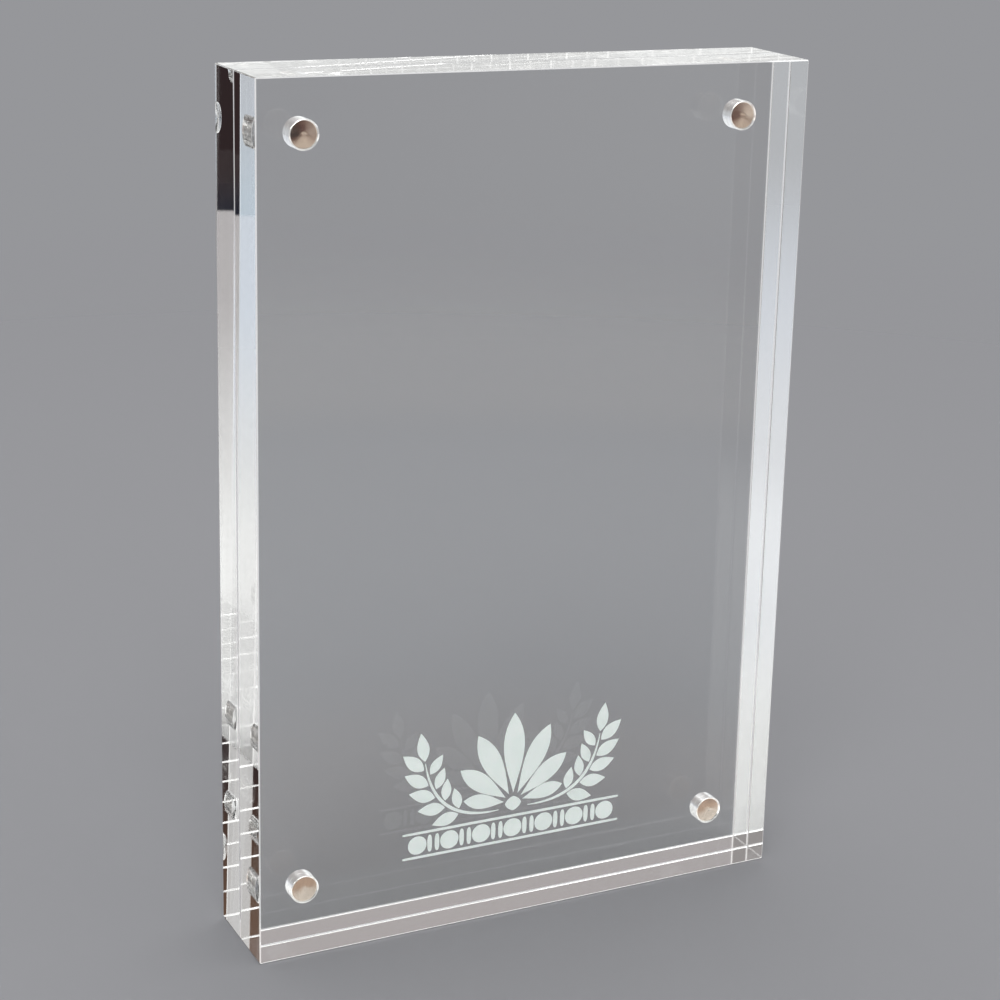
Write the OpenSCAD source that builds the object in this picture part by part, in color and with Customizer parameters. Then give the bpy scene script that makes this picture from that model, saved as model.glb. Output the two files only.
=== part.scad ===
// Upright block picture frame: a front and a back slab of clear acrylic that
// close face to face on disc magnets let into their corners.
// The origin is the middle of the footprint, +Z is up and the front looks along -Y.

/* [Slabs] */
// Width of both slabs, the short side of the print they hold
frame_w = 101.6; // [70:0.1:250]
// Height of both slabs, the long side of the print they hold
frame_h = 152.4; // [90:0.1:300]
// Thickness of the front slab, within what cast sheet sold as 9.5 mm may be
front_slab_t = 9.9; // [7:0.05:25]
// Thickness of the back slab, also within what cast sheet sold as 9.5 mm may be
back_slab_t = 9.1; // [7:0.05:25]
// Width of the polished bevel along every edge, measured on each face
bevel_w = 0.2; // [0.1:0.05:1.5]
// Air gap between the closed slabs, where the print goes
print_gap = 0.1; // [0:0.05:1]

/* [Magnets] */
// Diameter of a disc magnet
magnet_d = 5; // [3:0.1:7]
// Thickness of a disc magnet
magnet_t = 2; // [1:0.1:3]
// Radius of the rounded rim of a disc magnet
magnet_rim_r = 0.25; // [0.1:0.05:0.45]
// Distance from the side, top and bottom of a slab to the middle of a magnet
magnet_inset = 10; // [6:0.1:25]

/* [Magnet holes] */
// Clearance between a magnet and the wall of its hole
hole_clearance = 0.1; // [0.05:0.05:0.3]
// Depth of straight wall left behind a magnet for a drop of cement
cement_depth = 0.1; // [0.05:0.05:0.3]
// Point angle of the flat ground drill, which leaves a shallow cone at the end of each hole
drill_angle = 160; // [118:1:170]

/* [Hidden] */
// Fineness of the round walls
round_fn = 64;
// Fineness of the rounded rim of a magnet
rim_fn = 32;
// Overrun of every cut past the face it opens in
cut_over = 1;
// Distance from the middle of the print gap to the face of a slab that meets the other
mating_y = print_gap / 2;
// Middle of the print gap, which lies off the middle of the footprint where the slabs differ
gap_y = (front_slab_t - back_slab_t) / 2;
// Radius and depth of the straight wall of a magnet hole
hole_r = magnet_d / 2 + hole_clearance;
hole_depth = magnet_t + cement_depth;
// Height of the cone that the drill leaves
drill_cone_h = hole_r / tan(drill_angle / 2);
// Places of the magnets across the frame and up it
magnet_x = frame_w / 2 - magnet_inset;
magnet_low_z = magnet_inset;
magnet_high_z = frame_h - magnet_inset;
// Side of the frame on which a slab lies, and the side of a magnet as seen from the front
front = -1;
back = 1;
left = -1;
right = 1;
clear_acrylic = [0.86, 0.93, 0.94, 0.35];

// A bar of any length whose section is a rectangle with its corners cut at 45 degrees
module bevelled_bar(width, depth, length, bevel) {
    x = width / 2;
    y = depth / 2;
    linear_extrude(length, center = true)
        polygon([
            [-x + bevel, -y], [x - bevel, -y], [x, -y + bevel], [x, y - bevel],
            [x - bevel, y], [-x + bevel, y], [-x, y - bevel], [-x, -y + bevel]
        ]);
}

// A plate about the origin with a 45 degree bevel along all twelve edges:
// what three bevelled bars, one along each axis, have in common
module bevelled_plate(width, depth, height, bevel) {
    intersection() {
        bevelled_bar(width, depth, height, bevel);
        rotate([90, 0, 0])
            bevelled_bar(width, height, depth, bevel);
        rotate([0, 90, 0])
            bevelled_bar(height, depth, width, bevel);
    }
}

// A drilled blind hole that opens at z = 0 and runs down -Z to its cone
module drilled_hole() {
    rotate_extrude($fn = round_fn)
        polygon([
            [0, cut_over],
            [hole_r, cut_over],
            [hole_r, -hole_depth],
            [0, -hole_depth - drill_cone_h]
        ]);
}

// A disc magnet with a rounded rim, its top face at z = 0
module disc_magnet() {
    rotate_extrude($fn = round_fn)
        union() {
            translate([0, -magnet_t])
                square([magnet_d / 2 - magnet_rim_r, magnet_t]);
            translate([0, magnet_rim_r - magnet_t])
                square([magnet_d / 2, magnet_t - 2 * magnet_rim_r]);
            for (rim_z = [-magnet_rim_r, magnet_rim_r - magnet_t])
                translate([magnet_d / 2 - magnet_rim_r, rim_z])
                    circle(r = magnet_rim_r, $fn = rim_fn);
        }
}

// Puts what is drawn down -Z from the origin at a magnet's place in one slab,
// with z = 0 on the face that meets the other slab
module at_magnet(face, x, z) {
    translate([x, gap_y + face * mating_y, z])
        rotate([face * 90, 0, 0])
            children();
}

// One slab with its four magnet holes in the face that meets the other slab
module slab(face, thickness) {
    difference() {
        translate([0, gap_y + face * (mating_y + thickness / 2), frame_h / 2])
            bevelled_plate(frame_w, thickness, frame_h, bevel_w);
        for (x = [-magnet_x, magnet_x])
            for (z = [magnet_low_z, magnet_high_z])
                at_magnet(face, x, z)
                    drilled_hole();
    }
}

module front_block() {
    color(clear_acrylic)
        slab(front, front_slab_t);
}

module back_block() {
    color(clear_acrylic)
        slab(back, back_slab_t);
}

module magnet(face, side, z) {
    color("silver")
        at_magnet(face, side * magnet_x, z)
            disc_magnet();
}

front_block();
back_block();
magnet(front, left, magnet_high_z);  // front_magnet_top_left
magnet(front, right, magnet_high_z);  // front_magnet_top_right
magnet(front, left, magnet_low_z);  // front_magnet_bottom_left
magnet(front, right, magnet_low_z);  // front_magnet_bottom_right
magnet(back, left, magnet_high_z);  // back_magnet_top_left
magnet(back, right, magnet_high_z);  // back_magnet_top_right
magnet(back, left, magnet_low_z);  // back_magnet_bottom_left
magnet(back, right, magnet_low_z);  // back_magnet_bottom_right
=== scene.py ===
"""Finishes, printed ornament and studio stage of an acrylic block picture frame.

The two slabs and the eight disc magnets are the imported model's own meshes with
new materials. The leaf ornament printed on the inner face of the front slab is
made here as numpy surfaces. Lengths are in metres, +Z is up, +X is to the right
as seen from the front, and the front of the frame looks along -Y.
"""

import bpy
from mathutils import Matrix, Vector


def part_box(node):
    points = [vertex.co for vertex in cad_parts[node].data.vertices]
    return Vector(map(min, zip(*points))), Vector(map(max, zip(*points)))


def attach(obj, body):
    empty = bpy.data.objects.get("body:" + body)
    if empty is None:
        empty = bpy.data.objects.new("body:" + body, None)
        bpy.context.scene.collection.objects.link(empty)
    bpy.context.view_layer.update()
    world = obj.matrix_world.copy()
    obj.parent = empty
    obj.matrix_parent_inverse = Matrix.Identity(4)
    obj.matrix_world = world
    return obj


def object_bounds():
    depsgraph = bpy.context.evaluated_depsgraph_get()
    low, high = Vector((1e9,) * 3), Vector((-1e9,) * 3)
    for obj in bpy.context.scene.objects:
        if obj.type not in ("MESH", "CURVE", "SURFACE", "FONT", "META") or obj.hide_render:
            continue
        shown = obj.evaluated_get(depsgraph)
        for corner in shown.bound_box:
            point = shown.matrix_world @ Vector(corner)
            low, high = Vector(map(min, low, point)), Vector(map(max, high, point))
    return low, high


bl_info = {
    "name": "Acrylic Block Frame",
    "version": (1, 0, 0),
    "blender": (4, 5, 0),
    "location": "3D View > Sidebar > Block Frame",
    "description": "Finishes, printed ornament and stage of an acrylic block picture frame",
    "category": "Object",
}

import math

import bpy
import numpy as np
from mathutils import Matrix, Vector

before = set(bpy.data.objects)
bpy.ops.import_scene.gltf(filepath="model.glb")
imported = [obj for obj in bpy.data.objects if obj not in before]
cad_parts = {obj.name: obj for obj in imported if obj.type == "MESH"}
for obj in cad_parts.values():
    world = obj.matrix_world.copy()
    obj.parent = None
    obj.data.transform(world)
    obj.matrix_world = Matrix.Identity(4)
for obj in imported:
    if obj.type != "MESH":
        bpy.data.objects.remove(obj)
CAD_BOX = [list(corner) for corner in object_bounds()]

MM = 0.001
# Width of the ornament in the units that its outlines are drawn in
ORNAMENT_UNITS = 44
SLABS = ("front_block", "back_block")
MAGNETS = tuple(sorted(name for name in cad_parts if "_magnet_" in name))

# Faces of the frame and places of the magnets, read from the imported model
FRAME_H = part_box("front_block")[1][2]
FRONT_INNER_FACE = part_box("front_block")[1][1]
BACK_INNER_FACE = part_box("back_block")[0][1]
MAGNET_LOW, MAGNET_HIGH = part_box("front_magnet_top_right")
MAGNET_R = (MAGNET_HIGH[0] - MAGNET_LOW[0]) / 2
MAGNET_X = (MAGNET_HIGH[0] + MAGNET_LOW[0]) / 2
MAGNET_RISE = (MAGNET_HIGH[2] + MAGNET_LOW[2]) / 2 - FRAME_H / 2

# Radius about a magnet's axis inside which a sloping or round face belongs to its drilled hole
HOLE_REACH = MAGNET_R + 0.3 * MM
# A face is a bevel where no part of its normal is above the first limit, a drilled face where the part of its
# normal along y is below the second, and the cone at the end of a hole where that part is above the third
BEVEL_LIMIT = 0.9
FLAT_LIMIT = 0.995
CONE_LIMIT = 0.5
# A bevel runs from front to back where the part of its normal along y is below this, and looks down
# where the part along z is below its negative
SLOPE_LIMIT = 0.3
# Distance to the front or back of the middle of the footprint past which a bevel borders an outer face
SEAM_REACH = 6 * MM
# Air left between the inner face and the ink, and below the feet of the frame
INK_GAP = 0.002 * MM
FLOOR_GAP = 0.2 * MM
BLACK = (0.0, 0.0, 0.0, 1.0)
WARM_WHITE = (1.0, 0.99, 0.97, 1.0)
CEMENT_MILK = (0.96, 0.96, 0.95, 1.0)

# The room that mirrored and guided rays meet beyond the floor. A window is a little brighter than white.
ROOM = {
    "floor's edge": (0.71, 0.82, 0.92, 1.0),
    "horizon": (0.74, 0.77, 0.82, 1.0),
    "window": (1.15, 1.16, 1.15, 1.0),
    "wall": (0.46, 0.43, 0.43, 1.0),
    "wall, guided": (0.80, 0.79, 0.78, 1.0),
    "left wall, low": (0.52, 0.53, 0.55, 1.0),
    "left wall, high": (0.34, 0.32, 0.315, 1.0),
    "dark corner": (0.012, 0.012, 0.014, 1.0),
    "furniture, low": (0.004, 0.008, 0.020, 1.0),
    "furniture": (0.036, 0.022, 0.022, 1.0),
    "furniture, high": (0.16, 0.092, 0.060, 1.0),
    "mirrored brown": (0.14, 0.045, 0.025, 1.0),
    "front window": (1.15, 1.08, 1.02, 1.0),
    "ceiling": (0.95, 0.95, 0.95, 1.0),
    "ceiling, guided": (0.80, 0.79, 0.77, 1.0),
}
# The floor as mirrored and guided rays meet it, by how near to the frame and on which side of it. Only these
# rays see these colours, so they are painted reflections; lamps and straight rays meet the plain floor.
GROUND = {
    # Painted shade under the frame's foot, and painted light beside it at the back against the frame's own
    # shadow
    "under, back": (0.75, 0.75, 0.745, 1.0),
    "under, front": (0.62, 0.61, 0.60, 1.0),
    "beside, back": (0.90, 0.90, 0.89, 1.0),
    "far, back": (0.66, 0.71, 0.78, 1.0),
    "far, front": (0.46, 0.44, 0.44, 1.0),
    # Painted dark reflection to the left of the frame, for guided rays
    "dark corner": (0.02, 0.02, 0.025, 1.0),
    "mirrored once, near": (0.60, 0.61, 0.63, 1.0),
    "mirrored once, far": (0.54, 0.56, 0.60, 1.0),
    # Painted reflections that shade the magnets' faces: tan and pale near the foot in front, pale tan and
    # dark brown further out
    "pale reflection at the foot": (0.98, 0.98, 0.96, 1.0),
    "tan reflection": (0.58, 0.45, 0.37, 1.0),
    "pale tan reflection": (0.72, 0.65, 0.58, 1.0),
    "mirrored brown": (0.14, 0.045, 0.025, 1.0),
    "shaded": (0.01, 0.01, 0.012, 1.0),
}


class AcrylicSettings(bpy.types.PropertyGroup):
    """Cast acrylic of the two slabs."""

    tint: bpy.props.FloatVectorProperty(
        name="Tint", description="Colour that the sheet gives to what is seen through it", subtype="COLOR",
        size=3, default=(0.982, 0.988, 0.987), min=0.0, max=1.0)
    bevel_roughness: bpy.props.FloatProperty(
        name="Bevel roughness", description="How satin the narrow bevels along the edges are", default=0.25,
        min=0.0, max=1.0, subtype="FACTOR")
    bevel_light: bpy.props.FloatProperty(
        name="Bevel light", description="Light that the bevels at the seam scatter from the room",
        default=0.23, min=0.0, max=1.0, subtype="FACTOR")
    outer_light: bpy.props.FloatProperty(
        name="Outer light", description="Light that the bevels round the outer faces scatter from the room",
        default=0.42, min=0.0, max=1.0, subtype="FACTOR")
    foot_light: bpy.props.FloatProperty(
        name="Foot light", description="Light of the floor that the outer bevels at the foot scatter",
        default=0.9, min=0.0, max=1.0, subtype="FACTOR")
    depth_light: bpy.props.FloatProperty(
        name="Depth light", description="Light that the bevels from front to back scatter from the room",
        default=0.05, min=0.0, max=1.0, subtype="FACTOR")
    ring_light: bpy.props.FloatProperty(
        name="Ring light", description="Light that the ground rim of each hole scatters from the room",
        default=0.32, min=0.0, max=1.0, subtype="FACTOR")
    drilled_roughness: bpy.props.FloatProperty(
        name="Drilled roughness", description="How matt the drill leaves the magnet holes", default=0.13,
        min=0.0, max=1.0, subtype="FACTOR")


class MagnetSettings(bpy.types.PropertyGroup):
    """Nickel plate of the disc magnets."""

    plate: bpy.props.FloatVectorProperty(
        name="Plate", description="Colour of the nickel plate on the rim", subtype="COLOR", size=3,
        default=(0.88, 0.87, 0.85), min=0.0, max=1.0)
    face: bpy.props.FloatVectorProperty(
        name="Face", description="Colour of the plate under the film of cement", subtype="COLOR", size=3,
        default=(0.70, 0.61, 0.53), min=0.0, max=1.0)
    ring_spacing: bpy.props.FloatProperty(
        name="Ring spacing", description="Distance between the fine turned rings on a magnet",
        subtype="DISTANCE", unit="LENGTH", default=0.16 * MM, min=0.02 * MM, max=1.0 * MM)


class OrnamentSettings(bpy.types.PropertyGroup):
    """Leaf ornament printed near the bottom of the front slab's inner face."""

    width: bpy.props.FloatProperty(
        name="Width", description="Width of the whole ornament", subtype="DISTANCE", unit="LENGTH",
        default=44 * MM, min=10 * MM, max=80 * MM)
    base: bpy.props.FloatProperty(
        name="Base height", description="Height of the ornament's lower edge above the shelf",
        subtype="DISTANCE", unit="LENGTH", default=11 * MM, min=5 * MM, max=100 * MM)
    ink: bpy.props.FloatProperty(
        name="Ink thickness", description="Thickness of the printed layer", subtype="DISTANCE", unit="LENGTH",
        default=0.03 * MM, min=0.01 * MM, max=0.08 * MM)
    edge_light: bpy.props.FloatProperty(
        name="Edge light", description="Light that the sheet guides to the ink from its edges", default=0.25,
        min=0.0, max=1.0, subtype="FACTOR")
    pale: bpy.props.FloatVectorProperty(
        name="Pale ink", description="Colour of the ink where it lies thick", subtype="COLOR", size=3,
        default=(0.84, 0.90, 0.88), min=0.0, max=1.0)
    thin: bpy.props.FloatVectorProperty(
        name="Thin ink", description="Colour of the ink where it lies thin", subtype="COLOR", size=3,
        default=(0.78, 0.85, 0.83), min=0.0, max=1.0)


class StageSettings(bpy.types.PropertyGroup):
    """Floor, backdrop and lamps."""

    backdrop: bpy.props.FloatVectorProperty(
        name="Backdrop", description="Colour of the backdrop", subtype="COLOR", size=3,
        default=(0.305, 0.308, 0.324), min=0.0, max=1.0)
    floor: bpy.props.FloatVectorProperty(
        name="Floor", description="Colour of the floor as the acrylic mirrors it", subtype="COLOR", size=3,
        default=(0.80, 0.80, 0.79), min=0.0, max=1.0)
    floor_seen: bpy.props.FloatVectorProperty(
        name="Floor seen", description="Colour of the floor as the camera sees it", subtype="COLOR", size=3,
        default=(0.224, 0.226, 0.238), min=0.0, max=1.0)
    dome: bpy.props.FloatProperty(
        name="Dome", description="Brightness of the even light all round", default=0.95, min=0.0, max=2.0)
    floor_radius: bpy.props.FloatProperty(
        name="Floor radius", description="Distance at which the floor has gone over into the backdrop",
        subtype="DISTANCE", unit="LENGTH", default=0.70, min=0.3, max=3.0)
    lamp_power: bpy.props.FloatProperty(
        name="Lamp power", description="Power of the main lamp", unit="POWER", default=15.0,
        min=0.0, max=100.0)


class Graph:
    """Adds nodes to a tree and joins them. A value is a number, a tuple or another node's socket."""

    def __init__(self, tree):
        self.tree = tree

    def feed(self, socket, value):
        if isinstance(value, bpy.types.NodeSocket):
            self.tree.links.new(value, socket)
        else:
            socket.default_value = value

    def add(self, kind, inputs=None, **settings):
        node = self.tree.nodes.new(kind)
        for name, value in settings.items():
            setattr(node, name, value)
        for name, value in (inputs or {}).items():
            self.feed(node.inputs[name], value)
        return node

    def math(self, operation, first, second=0.0, clamp=False):
        node = self.add("ShaderNodeMath", {0: first, 1: second}, operation=operation, use_clamp=clamp)
        return node.outputs[0]

    def ramp(self, value, low, high, out_low=0.0, out_high=1.0, kind="SMOOTHSTEP"):
        node = self.add("ShaderNodeMapRange", interpolation_type=kind)
        for socket, number in zip(node.inputs, (value, low, high, out_low, out_high)):
            self.feed(socket, number)
        return node.outputs[0]

    def blend(self, factor, first, second):
        node = self.add("ShaderNodeMix", data_type="RGBA")
        for socket, value in zip((node.inputs[0], node.inputs[6], node.inputs[7]), (factor, first, second)):
            self.feed(socket, value)
        return node.outputs[2]

    def number(self, factor, first, second):
        node = self.add("ShaderNodeMix", data_type="FLOAT")
        for socket, value in zip((node.inputs[0], node.inputs[2], node.inputs[3]), (factor, first, second)):
            self.feed(socket, value)
        return node.outputs[0]

    def split(self, vector):
        return self.add("ShaderNodeSeparateXYZ", {0: vector}).outputs


def rgba(color):
    return (color[0], color[1], color[2], 1.0)


def new_group(name, inputs, outputs):
    """A shader node group with float inputs and outputs; gives its graph and its two end nodes."""
    tree = bpy.data.node_groups.new(name, "ShaderNodeTree")
    for label, default in inputs:
        socket = tree.interface.new_socket(label, in_out="INPUT", socket_type="NodeSocketFloat")
        socket.default_value = default
    for label in outputs:
        tree.interface.new_socket(label, in_out="OUTPUT", socket_type="NodeSocketFloat")
    graph = Graph(tree)
    return graph, graph.add("NodeGroupInput"), graph.add("NodeGroupOutput")


def magnet_axis_group():
    """Distance from the axis of the nearest magnet, on Object coordinates.

    The four axes mirror each other across the middle of the frame, so the distance
    is that of (|x| - Across, |z - Middle| - Rise) from zero.
    """
    graph, given, out = new_group(
        "nearest magnet axis", (("Across", MAGNET_X), ("Rise", MAGNET_RISE), ("Middle", FRAME_H / 2)),
        ("Radius",))
    place = graph.split(graph.add("ShaderNodeTexCoord").outputs["Object"])
    across = graph.math("SUBTRACT", graph.math("ABSOLUTE", place[0]), given.outputs["Across"])
    height = graph.math("ABSOLUTE", graph.math("SUBTRACT", place[2], given.outputs["Middle"]))
    rise = graph.math("SUBTRACT", height, given.outputs["Rise"])
    square = graph.math("ADD", graph.math("MULTIPLY", across, across), graph.math("MULTIPLY", rise, rise))
    graph.feed(out.inputs["Radius"], graph.math("SQRT", square))
    return graph.tree


def turned_rings_group():
    """Height of fine rings about an axis: a sine of the radius plus the depth, pushed about by noise."""
    graph, given, out = new_group(
        "turned rings", (("Radius", 0.0), ("Spacing", 0.16 * MM), ("Unevenness", 0.5)), ("Height",))
    coordinates = graph.add("ShaderNodeTexCoord").outputs["Object"]
    noise = graph.add("ShaderNodeTexNoise", {"Vector": coordinates, "Scale": 2500.0, "Detail": 2.0})
    push = graph.math("SUBTRACT", noise.outputs["Fac"], 0.5)
    push = graph.math("MULTIPLY", push, given.outputs["Unevenness"])
    along = graph.math("ADD", given.outputs["Radius"], graph.split(coordinates)[1])
    turns = graph.math("ADD", graph.math("DIVIDE", along, given.outputs["Spacing"]), push)
    wave = graph.math("SINE", graph.math("MULTIPLY", turns, math.tau))
    graph.feed(out.inputs["Height"], graph.ramp(wave, -1.0, 1.0, kind="LINEAR"))
    return graph.tree


def mottling_group():
    """Soft clouds with fine grain on Object coordinates, spread between Low and High."""
    graph, given, out = new_group(
        "mottling", (("Cloud Scale", 300.0), ("Grain Scale", 6000.0), ("Low", 0.0), ("High", 1.0)),
        ("Value",))
    coordinates = graph.add("ShaderNodeTexCoord").outputs["Object"]
    parts = []
    for name, share in (("Cloud Scale", 0.7), ("Grain Scale", 0.3)):
        noise = graph.add("ShaderNodeTexNoise", {
            "Vector": coordinates, "Scale": given.outputs[name], "Detail": 3.0})
        parts.append(graph.math("MULTIPLY", noise.outputs[0], share))
    both = graph.math("ADD", *parts)
    value = graph.ramp(both, 0.32, 0.68, given.outputs["Low"], given.outputs["High"])
    graph.feed(out.inputs["Value"], value)
    return graph.tree


GROUP_MAKERS = {
    "nearest magnet axis": magnet_axis_group,
    "turned rings": turned_rings_group,
    "mottling": mottling_group,
}


def group_node(graph, name, inputs=None):
    """Places a node group in a material, making the group the first time it is asked for."""
    tree = bpy.data.node_groups.get(name) or GROUP_MAKERS[name]()
    node = graph.tree.nodes.new("ShaderNodeGroup")
    node.node_tree = tree
    for label, value in (inputs or {}).items():
        graph.feed(node.inputs[label], value)
    return node


def new_material(name):
    material = bpy.data.materials.new(name)
    material.use_nodes = True
    return material, Graph(material.node_tree), material.node_tree.nodes["Principled BSDF"]


def assign(piece, material):
    piece.data.materials.clear()
    piece.data.materials.append(material)


def acrylic_material(settings):
    """Clear cast acrylic: polished faces, satin bevels, and matt drilled holes with tool marks.

    Satin and ground acrylic scatters some of the room's light all ways, which a weak even
    glow of the bevels and hole rims stands for, because the sheet itself stays fully clear. It is
    strongest at the foot and round the two outer faces, and weakest from front to back.
    """
    material, graph, shader = new_material("clear_acrylic")
    normal = graph.split(graph.add("ShaderNodeNewGeometry").outputs["True Normal"])
    along = [graph.math("ABSOLUTE", part) for part in normal]
    squarest = graph.math("MAXIMUM", graph.math("MAXIMUM", along[0], along[1]), along[2])
    sloping = graph.math("LESS_THAN", squarest, BEVEL_LIMIT)
    radius = group_node(graph, "nearest magnet axis").outputs["Radius"]
    near_hole = graph.math("LESS_THAN", radius, HOLE_REACH)
    off_face = graph.math("LESS_THAN", along[1], FLAT_LIMIT)
    drilled = graph.math("MULTIPLY", near_hole, off_face)
    cone = graph.math("MULTIPLY", drilled, graph.math("GREATER_THAN", along[1], CONE_LIMIT))
    bevel = graph.math("MULTIPLY", sloping, graph.math("SUBTRACT", 1.0, drilled))
    matt = group_node(graph, "mottling", {
        "Cloud Scale": 900.0, "Grain Scale": 9000.0,
        "Low": settings.drilled_roughness * 0.85, "High": settings.drilled_roughness * 1.15}).outputs["Value"]
    roughness = graph.math("ADD", graph.math("MULTIPLY", drilled, matt),
                           graph.math("MULTIPLY", bevel, settings.bevel_roughness))
    rings = group_node(graph, "turned rings", {"Radius": radius, "Spacing": 0.22 * MM, "Unevenness": 0.2})
    marks = graph.add("ShaderNodeBump", {
        "Height": graph.math("MULTIPLY", rings.outputs["Height"], cone),
        "Strength": 0.08, "Distance": 0.02 * MM})
    graph.feed(shader.inputs["Roughness"], roughness)
    graph.feed(shader.inputs["Normal"], marks.outputs["Normal"])
    milky = graph.blend(drilled, rgba(settings.tint), CEMENT_MILK)
    graph.feed(shader.inputs["Base Color"], milky)
    ring = graph.math("MULTIPLY", cone, graph.ramp(radius, MAGNET_R - 0.22 * MM, MAGNET_R - 0.06 * MM))
    wall = graph.math("SUBTRACT", drilled, cone)
    caught = graph.math("ADD", graph.math("MULTIPLY", ring, settings.ring_light),
                        graph.math("MULTIPLY", wall, settings.ring_light * 0.3))
    place = graph.split(graph.add("ShaderNodeTexCoord").outputs["Object"])
    outer = graph.math("GREATER_THAN", graph.math("ABSOLUTE", place[1]), SEAM_REACH)
    depth = graph.math("LESS_THAN", along[1], SLOPE_LIMIT)
    downwards = graph.math("LESS_THAN", normal[2], -SLOPE_LIMIT)
    level = graph.number(downwards, settings.outer_light, settings.foot_light)
    level = graph.number(outer, settings.bevel_light, level)
    level = graph.number(depth, level, settings.depth_light)
    caught = graph.math("ADD", caught, graph.math("MULTIPLY", bevel, level))
    graph.feed(shader.inputs["Emission Color"], graph.blend(caught, BLACK, WARM_WHITE))
    shader.inputs["Emission Strength"].default_value = 1.0
    shader.inputs["IOR"].default_value = 1.49
    shader.inputs["Transmission Weight"].default_value = 1.0
    return material


def nickel_material(settings):
    """Bright nickel plate with faint turned rings, mottled a little and paler on the rim."""
    material, graph, shader = new_material("nickel_plate")
    radius = group_node(graph, "nearest magnet axis").outputs["Radius"]
    rings = group_node(graph, "turned rings", {
        "Radius": radius, "Spacing": settings.ring_spacing, "Unevenness": 0.3})
    clouds = group_node(graph, "mottling", {"Cloud Scale": 500.0, "Grain Scale": 8000.0}).outputs["Value"]
    rim = graph.ramp(radius, MAGNET_R - 0.3 * MM, MAGNET_R - 0.1 * MM)
    face = graph.blend(clouds, rgba([part * 0.84 for part in settings.face]), rgba(settings.face))
    graph.feed(shader.inputs["Base Color"], graph.blend(rim, face, rgba(settings.plate)))
    graph.feed(shader.inputs["Roughness"], graph.ramp(clouds, 0.0, 1.0, 0.10, 0.22))
    marks = graph.add("ShaderNodeBump", {
        "Height": rings.outputs["Height"], "Strength": 0.07, "Distance": 0.01 * MM})
    graph.feed(shader.inputs["Normal"], marks.outputs["Normal"])
    shader.inputs["Metallic"].default_value = 1.0
    return material


def ink_material(settings):
    """Matt white ink with a hint of green, a little uneven where it lies thinner. The ink lies on the sheet,
    so it also scatters light that the sheet guides to it from its edges, which its weak glow stands for."""
    material, graph, shader = new_material("frosted_print")
    clouds = group_node(graph, "mottling", {"Cloud Scale": 260.0, "Grain Scale": 7000.0}).outputs["Value"]
    colour = graph.blend(clouds, rgba(settings.thin), rgba(settings.pale))
    graph.feed(shader.inputs["Base Color"], colour)
    graph.feed(shader.inputs["Emission Color"], colour)
    shader.inputs["Emission Strength"].default_value = settings.edge_light
    graph.feed(shader.inputs["Roughness"], graph.ramp(clouds, 0.0, 1.0, 0.48, 0.66))
    grain = graph.add("ShaderNodeBump", {"Height": clouds, "Strength": 0.2, "Distance": 0.01 * MM})
    graph.feed(shader.inputs["Normal"], grain.outputs["Normal"])
    return material


def oval(length, width, lean=0.0, points=56):
    """Outline of a pointed leaf in its own plane, as (points, 2).

    Along: half the length times cos t. Across: half the width times sin t times |sin t|, which makes
    both tips pointed, widened towards the foot by the factor 1 - lean cos t.
    """
    t = np.linspace(0.0, math.tau, points, endpoint=False)
    across = width / 2 * np.sin(t) * np.abs(np.sin(t)) * (1.0 - lean * np.cos(t))
    return np.stack([length / 2 * np.cos(t), across], axis=-1)


def superellipse(length, width, power, points=64):
    """Outline (points, 2) of a superellipse: cos t and sin t, each raised to 2 / power with its sign kept."""
    t = np.linspace(0.0, math.tau, points, endpoint=False)
    c, s = np.cos(t), np.sin(t)
    return np.stack([length / 2 * np.sign(c) * np.abs(c) ** (2 / power),
                     width / 2 * np.sign(s) * np.abs(s) ** (2 / power)], axis=-1)


def placed(outline, centers, angles):
    """Copies (copies, points, 2) of an outline, each turned by its angle and moved to its centre."""
    centers, angles = np.atleast_2d(centers), np.atleast_1d(angles)
    c, s = np.cos(angles)[:, None], np.sin(angles)[:, None]
    x = c * outline[None, :, 0] - s * outline[None, :, 1] + centers[:, :1]
    z = s * outline[None, :, 0] + c * outline[None, :, 1] + centers[:, 1:]
    return np.stack([x, z], axis=-1)


def mirrored(outlines):
    """The outlines and their mirror images across x = 0, turned the same way round as before."""
    other = outlines[:, ::-1] * np.array([-1.0, 1.0])
    return np.concatenate([outlines, other])


def bezier(points, t):
    """Points (t, 2) of a quadratic curve through its control points, and its unit tangents."""
    p0, p1, p2 = (np.array(p, float) for p in points)
    t = np.asarray(t, float)[:, None]
    place = (1 - t) ** 2 * p0 + 2 * t * (1 - t) * p1 + t ** 2 * p2
    slope = 2 * (1 - t) * (p1 - p0) + 2 * t * (p2 - p1)
    return place, slope / np.linalg.norm(slope, axis=1, keepdims=True)


def ribbon(points, width, samples=40):
    """Outline (1, 2 samples, 2) of a strip along a quadratic curve: the curve pushed out to either side by
    half the width, which swells as the root of sin, so both ends come to a round point."""
    t = np.linspace(0.0, 1.0, samples)
    place, tangent = bezier(points, t)
    side = np.stack([-tangent[:, 1], tangent[:, 0]], axis=1)
    half = width / 2 * np.sqrt(np.sin(math.pi * np.clip(t, 0.02, 0.98)))[:, None]
    return np.concatenate([place - side * half, (place + side * half)[::-1]])[None]


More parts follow.
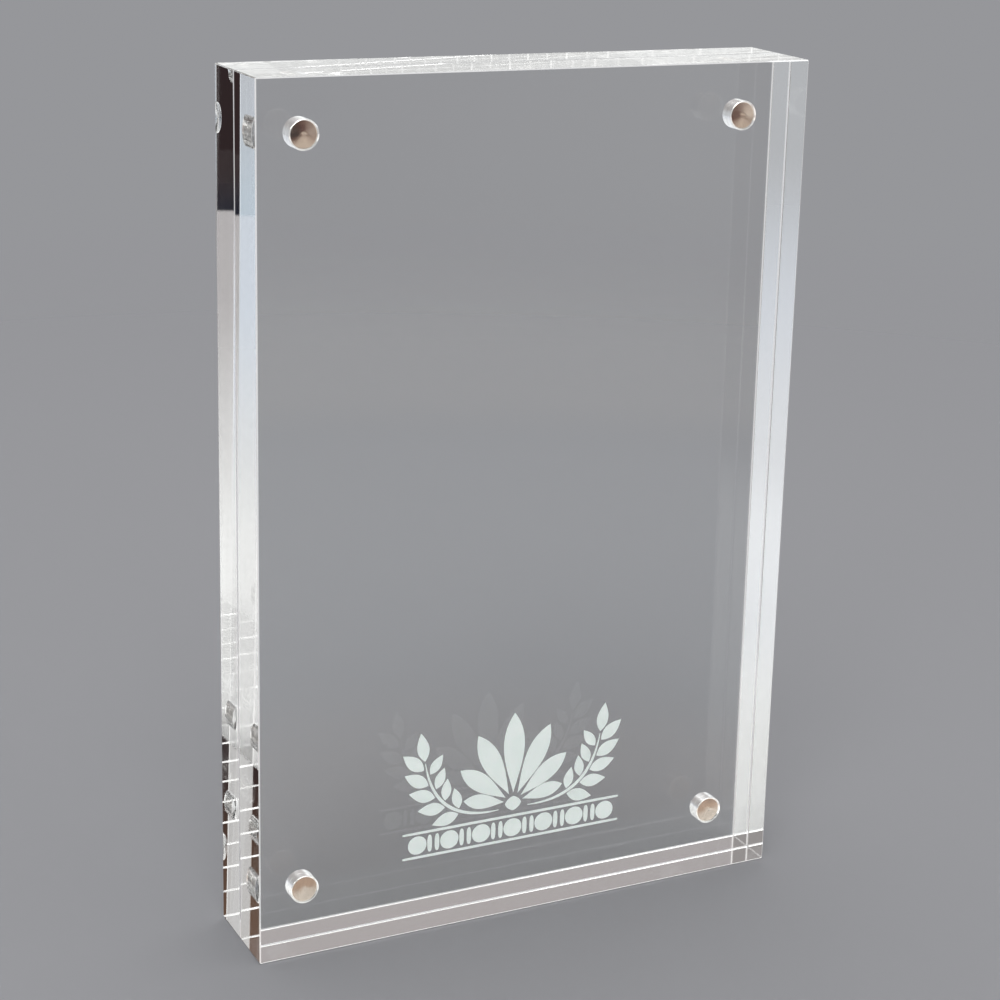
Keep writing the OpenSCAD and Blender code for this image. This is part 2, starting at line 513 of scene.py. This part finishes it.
def plate_mesh(name, shapes, y_low, y_high):
    """One closed mesh of thin plates. Each shape is an array (copies, points, 2) of (x, z) outlines that run
    anticlockwise as seen from the front: the outline is laid at y_low and at y_high, a wall joins the two,
    and each of the two faces is one polygon."""
    vertices, loops, sizes, start = [], [], [], 0
    for outlines in shapes:
        copies, points = outlines.shape[:2]
        for y in (y_low, y_high):
            layer = np.empty((copies, points, 3))
            layer[..., 0] = outlines[..., 0]
            layer[..., 1] = y
            layer[..., 2] = outlines[..., 1]
            vertices.append(layer.reshape(-1, 3))
        near = start + np.arange(copies * points).reshape(copies, points)
        far = near + copies * points
        after = np.roll(near, -1, axis=1)
        walls = np.stack([near, far, after + copies * points, after], axis=-1).reshape(-1, 4)
        loops += [near.ravel(), far[:, ::-1].ravel(), walls.ravel()]
        sizes += [np.full(2 * copies, points), np.full(len(walls), 4)]
        start += 2 * copies * points
    vertices = np.concatenate(vertices)
    loops = np.concatenate(loops)
    sizes = np.concatenate(sizes)
    mesh = bpy.data.meshes.new(name)
    mesh.vertices.add(len(vertices))
    mesh.vertices.foreach_set("co", vertices.ravel())
    mesh.loops.add(len(loops))
    mesh.loops.foreach_set("vertex_index", loops)
    mesh.polygons.add(len(sizes))
    mesh.polygons.foreach_set("loop_start", np.concatenate([[0], np.cumsum(sizes)[:-1]]))
    mesh.polygons.foreach_set("use_smooth", np.zeros(len(sizes), bool))
    mesh.update(calc_edges=True)
    mesh.validate()
    return mesh


def ornament_shapes():
    """Outlines of the ornament about its own lower middle point, ORNAMENT_UNITS wide and 25 units high.
    No two of them touch, as in a stencil."""
    beads_x = np.linspace(-18.9, 18.9, 7)
    reels_x = (beads_x[:-1] + beads_x[1:]) / 2
    row = np.stack([beads_x, np.full_like(beads_x, 2.6)], axis=1)
    shapes = [placed(superellipse(3.6, 3.5, 2.1), row, 0 * beads_x)]
    for shift in (-0.72, 0.72):
        row = np.stack([reels_x + shift, np.full_like(reels_x, 2.6)], axis=1)
        shapes.append(placed(superellipse(0.9, 3.3, 2.6), row, 0 * reels_x))
    shapes.append(placed(superellipse(43.6, 0.5, 8.0), [(0, 0.25), (0, 4.95)], [0, 0]))
    for degrees, length, width in ((90, 15.6, 4.0), (63, 14.0, 3.7), (37, 11.4, 3.3), (11, 8.2, 2.7)):
        turn = math.radians(degrees)
        reach = length / 2 + 1.9
        center = (reach * math.cos(turn), 7.6 + reach * math.sin(turn))
        petal = placed(oval(length, width, lean=-0.45), center, turn)
        shapes.append(petal if degrees == 90 else mirrored(petal))
    shapes.append(placed(superellipse(3.2, 2.8, 1.5), (0, 7.4), 0.0))
    stem = ((2.9, 6.6), (15.6, 5.9), (17.5, 18.2))
    shapes.append(mirrored(ribbon(stem, 0.6)))
    outer = ((0.33, 0.49, 0.64, 0.78, 0.92), 5.3, 2.4, -36, 0.85)
    inner = ((0.36, 0.55, 0.72, 0.88), 4.2, 1.9, 52, 0.62)
    tip = ((1.0,), 5.6, 2.3, 0, 0.4)
    for stations, length, width, degrees, gap in (outer, inner, tip):
        place, tangent = bezier(stem, stations)
        angles = np.arctan2(tangent[:, 1], tangent[:, 0]) + math.radians(degrees)
        centers = place + (length / 2 + gap) * np.stack([np.cos(angles), np.sin(angles)], axis=1)
        shapes.append(mirrored(placed(oval(length, width, lean=0.25), centers, angles)))
    return shapes


def soft_box(name, place, aim, size, power, color):
    """A square area lamp at a place, turned towards a point, unseen by the camera."""
    data = bpy.data.lights.new(name, "AREA")
    data.shape = "SQUARE"
    data.size = size
    data.energy = power
    data.color = color
    lamp = bpy.data.objects.new(name, data)
    lamp.location = place
    lamp.rotation_euler = (Vector(aim) - Vector(place)).to_track_quat("-Z", "Y").to_euler()
    lamp.visible_camera = False
    bpy.context.scene.collection.objects.link(lamp)


def ray_kinds(graph, heading):
    """Masks that tell apart what a ray has met since the camera. Heading is the world direction or the place
    on the floor, whose y part tells whether the ray went to the front.

    straight: no mirror and no matt surface, whether or not it went through acrylic, or turned back twice
    between the faces of the closed slabs before going on as before
    lighting: a ray that lights a matt surface
    glint: mirrored once towards the front by a slab's face, so it lies over what is seen through the slab
    skin: mirrored once by an outer face
    guided: mirrored more than once, as by the faces of a slab that the ray runs along
    """
    path = graph.add("ShaderNodeLightPath").outputs
    seen = graph.math("ADD", graph.math("ADD", path["Is Camera Ray"], path["Is Glossy Ray"]),
                      path["Is Transmission Ray"], clamp=True)
    matt = graph.math("GREATER_THAN", path["Diffuse Depth"], 0.5)
    lighting = graph.math("MAXIMUM", matt, graph.math("SUBTRACT", 1.0, seen))
    straight = graph.math("LESS_THAN", graph.math("ADD", path["Glossy Depth"], matt), 0.5)
    twice = graph.math("MULTIPLY", graph.math("COMPARE", path["Glossy Depth"], 2.0),
                       graph.math("COMPARE", path["Transmission Depth"], 4.0))
    twice = graph.math("MULTIPLY", twice, graph.math("LESS_THAN", heading[2], 0.0005))
    straight = graph.math("MAXIMUM", straight, twice)
    once = graph.math("COMPARE", path["Glossy Depth"], 1.0)
    to_front = graph.math("LESS_THAN", heading[1], 0.0)
    magnet = graph.math("COMPARE", path["Transmission Depth"], 4.0)
    glint = graph.math("MULTIPLY", once, graph.math("SUBTRACT", 1.0, magnet))
    glint = graph.math("MULTIPLY", glint, to_front)
    skin = graph.math("MULTIPLY", once, graph.math("LESS_THAN", path["Transmission Depth"], 0.5))
    guided = graph.math("GREATER_THAN", path["Glossy Depth"], 1.5)
    return {"straight": straight, "lighting": lighting, "glint": glint, "skin": skin, "guided": guided,
            "once": once, "to_front": to_front}


def studio_world(settings):
    """Flat backdrop for the camera and for what is seen straight through the acrylic, and an even pale dome
    for matt surfaces. Mirrored and guided rays meet a room by direction: a pale window wall behind, brighter
    just over the floor's far edge, greyer to the left and higher up, and dark brown furniture in front. To
    the sides, a ray mirrored once meets the plain backdrop too."""
    world = bpy.data.worlds.new("studio")
    world.use_nodes = True
    tree = world.node_tree
    tree.nodes.clear()
    graph = Graph(tree)
    direction = graph.split(graph.add("ShaderNodeTexCoord").outputs["Generated"])
    rise = direction[2]
    kinds = ray_kinds(graph, direction)
    low = graph.blend(graph.ramp(rise, -0.20, -0.12), ROOM["floor's edge"], ROOM["horizon"])
    window = graph.blend(graph.ramp(rise, 0.02, 0.10), low, ROOM["window"])
    high = graph.blend(kinds["guided"], ROOM["wall"], ROOM["wall, guided"])
    right = graph.blend(graph.ramp(rise, 0.22, 0.40), window, high)
    left = graph.blend(graph.ramp(rise, 0.0, 0.3), ROOM["left wall, low"], ROOM["left wall, high"])
    behind = graph.blend(graph.ramp(direction[0], -0.18, 0.05), left, right)
    leftward = graph.math("MULTIPLY", kinds["guided"], graph.ramp(direction[0], -0.20, -0.10, 1.0, 0.0))
    shaded = graph.math("MULTIPLY", graph.math("MAXIMUM", kinds["skin"], leftward),
                        graph.ramp(rise, 0.0, 0.1, 1.0, 0.0))
    behind = graph.blend(shaded, behind, ROOM["dark corner"])
    front = graph.blend(graph.ramp(rise, -0.19, -0.165), ROOM["furniture, low"], ROOM["furniture"])
    front = graph.blend(graph.ramp(rise, 0.40, 0.475), front, ROOM["furniture, high"])
    nearby = graph.blend(graph.ramp(direction[0], 0.15, 0.32), BLACK, ROOM["mirrored brown"])
    nearby = graph.blend(graph.ramp(direction[0], 0.36, 0.75, kind="LINEAR"), nearby, ROOM["front window"])
    front = graph.blend(kinds["once"], front, nearby)
    around = graph.blend(graph.ramp(direction[1], -0.10, 0.16), front, behind)
    ceiling = graph.blend(kinds["guided"], ROOM["ceiling"], ROOM["ceiling, guided"])
    around = graph.blend(graph.ramp(rise, 0.48, 0.70), around, ceiling)
    sideways = graph.ramp(graph.math("ABSOLUTE", direction[1]), 0.10, 0.20, 1.0, 0.0)
    plain = graph.math("MAXIMUM", kinds["straight"], kinds["glint"])
    plain = graph.math("MAXIMUM", plain, graph.math("MULTIPLY", kinds["once"], sideways))
    colour = graph.blend(plain, around, rgba(settings.backdrop))
    colour = graph.blend(kinds["lighting"], colour, rgba([settings.dome] * 3))
    background = graph.add("ShaderNodeBackground", {"Color": colour, "Strength": 1.0})
    output = graph.add("ShaderNodeOutputWorld")
    graph.feed(output.inputs["Surface"], background.outputs[0])
    bpy.context.scene.world = world


def floor_disc(settings):
    """A round floor just under the feet of the frame, as rings of a polar grid about the origin."""
    radii = np.array([0.02, 0.1, 0.25, 0.45, 0.6, 1.0]) * 0.9
    turn = np.linspace(0.0, math.tau, 96, endpoint=False)
    ring = np.stack([np.cos(turn), np.sin(turn)], axis=-1)
    points = np.zeros((len(radii), len(turn), 3))
    points[..., :2] = radii[:, None, None] * ring[None]
    points[..., 2] = CAD_BOX[0][2] - FLOOR_GAP
    vertices = points.reshape(-1, 3)
    index = np.arange(len(vertices)).reshape(len(radii), len(turn))
    after = np.roll(index, -1, axis=1)
    quads = np.stack([index[:-1], index[1:], after[1:], after[:-1]], axis=-1).reshape(-1, 4)
    mesh = bpy.data.meshes.new("floor")
    mesh.from_pydata(vertices.tolist(), [], quads.tolist() + [index[0].tolist()])
    floor = bpy.data.objects.new("floor", mesh)
    bpy.context.scene.collection.objects.link(floor)
    material, graph, shader = new_material("studio_floor")
    flat = graph.split(graph.add("ShaderNodeTexCoord").outputs["Object"])
    squares = [graph.math("MULTIPLY", flat[axis], flat[axis]) for axis in (0, 1)]
    distance = graph.math("SQRT", graph.math("ADD", *squares))
    kinds = ray_kinds(graph, flat)
    plain = graph.math("MAXIMUM", kinds["straight"], kinds["glint"])
    soft_edge = graph.ramp(distance, 0.30, settings.floor_radius, 1.0, 0.0)
    hard_edge = graph.ramp(distance, settings.floor_radius - 0.09, settings.floor_radius - 0.08, 1.0, 0.0)
    wide_edge = graph.ramp(distance, 0.40, 0.88, 1.0, 0.0)
    edge = graph.number(kinds["once"], hard_edge, wide_edge)
    edge = graph.number(graph.math("MAXIMUM", plain, kinds["lighting"]), edge, soft_edge)
    graph.feed(shader.inputs["Alpha"], edge)
    floor_color, seen_color = rgba(settings.floor), rgba(settings.floor_seen)
    far = graph.blend(kinds["to_front"], GROUND["far, back"], GROUND["far, front"])
    # Painted light: guided rays to the back meet the floor beside the frame paler, against the frame's shadow
    # there
    near = graph.blend(kinds["to_front"], GROUND["beside, back"], floor_color)
    near = graph.blend(graph.ramp(distance, 0.06, 0.13), near, floor_color)
    # Painted shade: guided rays meet the floor right under the frame's foot darker, most for rays to the
    # front
    under = graph.blend(kinds["to_front"], GROUND["under, back"], GROUND["under, front"])
    near = graph.blend(graph.ramp(distance, 0.048, 0.058), under, near)
    guided = graph.blend(graph.ramp(distance, 0.12, 0.46), near, far)
    # Painted dark reflection: guided rays meet the floor left of the frame nearly black
    leftward = graph.ramp(flat[0], -0.10, -0.055, 1.0, 0.0)
    guided = graph.blend(leftward, guided, GROUND["dark corner"])
    # Rays that leave well to the side lose less of their light on the way, so the floor they meet is painted
    # darker for them, as painted shade
    inwards = graph.math("MULTIPLY", graph.math("ABSOLUTE", flat[1]), -0.75)
    aslant = graph.math("ADD", graph.math("ABSOLUTE", flat[0]), inwards)
    guided = graph.blend(graph.ramp(aslant, 0.050, 0.058, 0.0, 0.34), guided, BLACK)
    once = graph.blend(graph.ramp(distance, 0.04, 0.12), floor_color, GROUND["mirrored once, near"])
    once = graph.blend(graph.ramp(distance, 0.22, 0.50), once, GROUND["mirrored once, far"])
    # Painted reflections for rays mirrored once to the front, which the magnets' faces show: tan in front of
    # the foot, pale right at it, then the plain floor, pale tan and dark brown further out, so the faces look
    # shaded
    nearby = graph.ramp(flat[1], -0.029, -0.015)
    nearby = graph.blend(nearby, GROUND["tan reflection"], GROUND["pale reflection at the foot"])
    nearby = graph.blend(graph.ramp(distance, 0.07, 0.12), nearby, seen_color)
    nearby = graph.blend(graph.ramp(distance, 0.30, 0.36), nearby, GROUND["pale tan reflection"])
    nearby = graph.blend(graph.ramp(distance, 0.42, 0.62), nearby, GROUND["mirrored brown"])
    once = graph.blend(kinds["to_front"], once, nearby)
    pale = graph.blend(kinds["once"], guided, once)
    shaded = graph.math("MULTIPLY", kinds["skin"], graph.math("SUBTRACT", 1.0, kinds["to_front"]))
    pale = graph.blend(shaded, pale, GROUND["shaded"])
    # Glints off the back slab mirror this ring of the floor over the middle of the frame; for glints alone it
    # is painted darker there, a painted shade that evens out a brighter reflection over the middle
    painted_dark_band = graph.math("MULTIPLY", graph.ramp(distance, 0.29, 0.35),
                      graph.ramp(distance, 0.45, 0.62, 1.0, 0.0))
    seen = graph.blend(graph.math("MULTIPLY", kinds["glint"], painted_dark_band), seen_color,
                       rgba([part * 0.62 for part in settings.floor_seen]))
    pale = graph.blend(plain, pale, seen)
    graph.feed(shader.inputs["Base Color"], graph.blend(kinds["lighting"], pale, floor_color))
    shader.inputs["Roughness"].default_value = 0.9
    shader.inputs["Specular IOR Level"].default_value = 0.0
    assign(floor, material)


def place_camera():
    """The camera that the photograph's corners give, with its roll and small shift."""
    forward = Vector((0.44739295, 0.85158299, -0.27321411))
    up = Vector((0.09832501, 0.25680569, 0.9614484))
    right = Vector((0.88891605, -0.45700902, 0.03116115))
    data = bpy.data.cameras.new("camera")
    data.sensor_width = 36
    data.lens = 83.906
    data.shift_x = -0.070
    data.shift_y = -0.070
    camera = bpy.data.objects.new("camera", data)
    bpy.context.scene.collection.objects.link(camera)
    turned = Matrix((right, up, -forward)).transposed().to_4x4()
    turned.translation = Vector((-0.17394, -0.35233, 0.19996))
    camera.matrix_world = turned
    bpy.context.scene.camera = camera


class BLOCKFRAME_OT_finish_slabs(bpy.types.Operator):
    """Give both slabs their polished acrylic"""

    bl_idname = "blockframe.finish_slabs"
    bl_label = "Finish slabs"

    def execute(self, context):
        material = acrylic_material(context.scene.blockframe_acrylic)
        for name in SLABS:
            assign(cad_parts[name], material)
        return {"FINISHED"}


class BLOCKFRAME_OT_plate_magnets(bpy.types.Operator):
    """Give the eight disc magnets their nickel plate"""

    bl_idname = "blockframe.plate_magnets"
    bl_label = "Plate magnets"

    def execute(self, context):
        material = nickel_material(context.scene.blockframe_magnets)
        for name in MAGNETS:
            assign(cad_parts[name], material)
        return {"FINISHED"}


class BLOCKFRAME_OT_print_ornament(bpy.types.Operator):
    """Print the leaf ornament on the inner face of the front slab"""

    bl_idname = "blockframe.print_ornament"
    bl_label = "Print ornament"

    def execute(self, context):
        settings = context.scene.blockframe_ornament
        y_low = FRONT_INNER_FACE + INK_GAP
        y_high = y_low + settings.ink
        if y_high >= BACK_INNER_FACE:
            raise RuntimeError("the ink is thicker than the gap between the slabs")
        scale = settings.width / ORNAMENT_UNITS
        shapes = [outlines * scale + np.array([0.0, settings.base]) for outlines in ornament_shapes()]
        mesh = plate_mesh("printed_ornament", shapes, y_low, y_high)
        piece = bpy.data.objects.new("printed_ornament", mesh)
        context.scene.collection.objects.link(piece)
        assign(piece, ink_material(settings))
        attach(piece, "front")
        return {"FINISHED"}


class BLOCKFRAME_OT_set_stage(bpy.types.Operator):
    """Set up the floor, the backdrop, the lamps and the camera"""

    bl_idname = "blockframe.set_stage"
    bl_label = "Set stage"

    def execute(self, context):
        settings = context.scene.blockframe_stage
        middle = (0.0, 0.0, FRAME_H / 2)
        place_camera()
        studio_world(settings)
        floor_disc(settings)
        power = settings.lamp_power
        soft_box("lamp_key", (-0.55, -1.00, 1.60), middle, 1.0, power, (1.0, 0.99, 0.98))
        soft_box("lamp_top", (0.15, 0.30, 1.40), middle, 1.3, power * 0.36, (1.0, 1.0, 1.0))
        scene = context.scene
        scene.view_settings.view_transform = "Standard"
        scene.cycles.max_bounces = 40
        scene.cycles.transmission_bounces = 40
        scene.cycles.glossy_bounces = 40
        return {"FINISHED"}


class BLOCKFRAME_PT_tools(bpy.types.Panel):
    """Sizes and colours of the block frame and its stage"""

    bl_idname = "BLOCKFRAME_PT_tools"
    bl_label = "Block Frame"
    bl_space_type = "VIEW_3D"
    bl_region_type = "UI"
    bl_category = "Block Frame"

    def draw(self, context):
        for operator, settings in STEPS:
            box = self.layout.box()
            group = getattr(context.scene, settings)
            for name in group.bl_rna.properties.keys():
                if name not in ("rna_type", "name"):
                    box.prop(group, name)
            box.operator(operator)


SETTINGS = {
    "blockframe_acrylic": AcrylicSettings,
    "blockframe_magnets": MagnetSettings,
    "blockframe_ornament": OrnamentSettings,
    "blockframe_stage": StageSettings,
}
STEPS = (
    ("blockframe.finish_slabs", "blockframe_acrylic"),
    ("blockframe.plate_magnets", "blockframe_magnets"),
    ("blockframe.print_ornament", "blockframe_ornament"),
    ("blockframe.set_stage", "blockframe_stage"),
)
CLASSES = (
    *SETTINGS.values(),
    BLOCKFRAME_OT_finish_slabs,
    BLOCKFRAME_OT_plate_magnets,
    BLOCKFRAME_OT_print_ornament,
    BLOCKFRAME_OT_set_stage,
    BLOCKFRAME_PT_tools,
)


def register():
    for cls in CLASSES:
        bpy.utils.register_class(cls)
    for name, cls in SETTINGS.items():
        setattr(bpy.types.Scene, name, bpy.props.PointerProperty(type=cls))


def unregister():
    for name in SETTINGS:
        delattr(bpy.types.Scene, name)
    for cls in reversed(CLASSES):
        bpy.utils.unregister_class(cls)


def main():
    register()
    for operator, _ in STEPS:
        group, name = operator.split(".")
        getattr(getattr(bpy.ops, group), name)()


if __name__ == "__main__":
    main()
